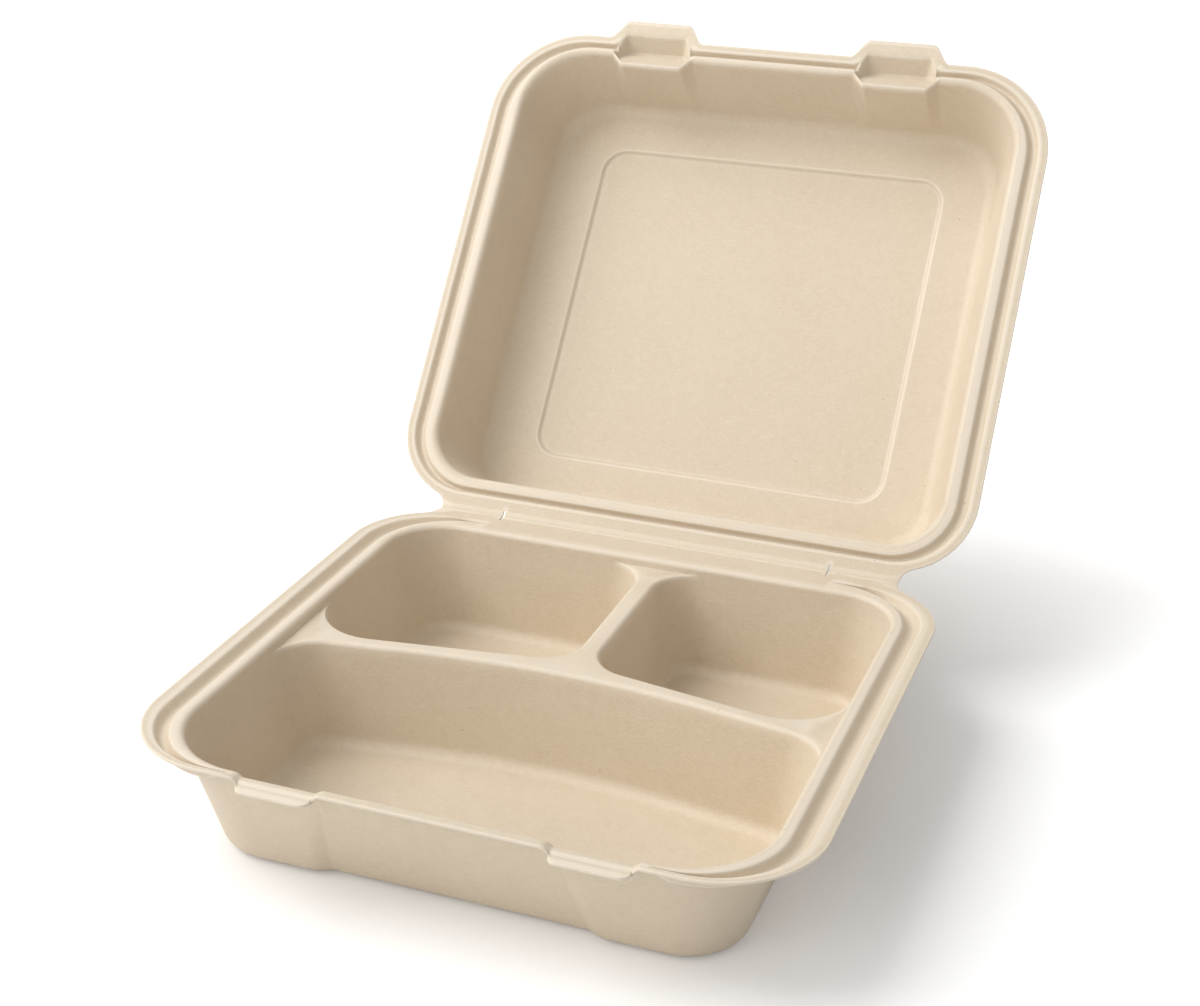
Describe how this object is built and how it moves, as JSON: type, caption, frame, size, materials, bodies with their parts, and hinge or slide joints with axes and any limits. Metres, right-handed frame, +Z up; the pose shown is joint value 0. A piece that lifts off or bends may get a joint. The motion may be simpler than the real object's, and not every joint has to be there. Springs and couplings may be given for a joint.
{
  "type": "hinged takeaway food container",
  "caption": "Moulded-fibre clamshell food box: compartment tray with a rolled rim and front locking tabs, and a deep hinged lid standing open.",
  "frame": {"origin": "on the surface that the box stands on, under the floor of the front compartment, 60 mm behind the front lip and midway between the sides", "axes": "+Z up, -Y towards the front lip and locking tabs, +X to the right seen from the front; the crease of the lid runs along X"},
  "size_m": [0.236, 0.3624, 0.217],
  "materials": {
    "moulded_fibre": "matt"
  },
  "bodies": {
    "tray": {"tray": "moulded_fibre"},
    "lid": {"lid": "moulded_fibre"}
  },
  "joints": [
    {"name": "lid_crease", "type": "hinge", "parent": "tray", "child": "lid", "pos_m": [0, 0.153, 0.043], "axis": [-1, 0, 0], "range_deg": [-128, 52]}
  ]
}
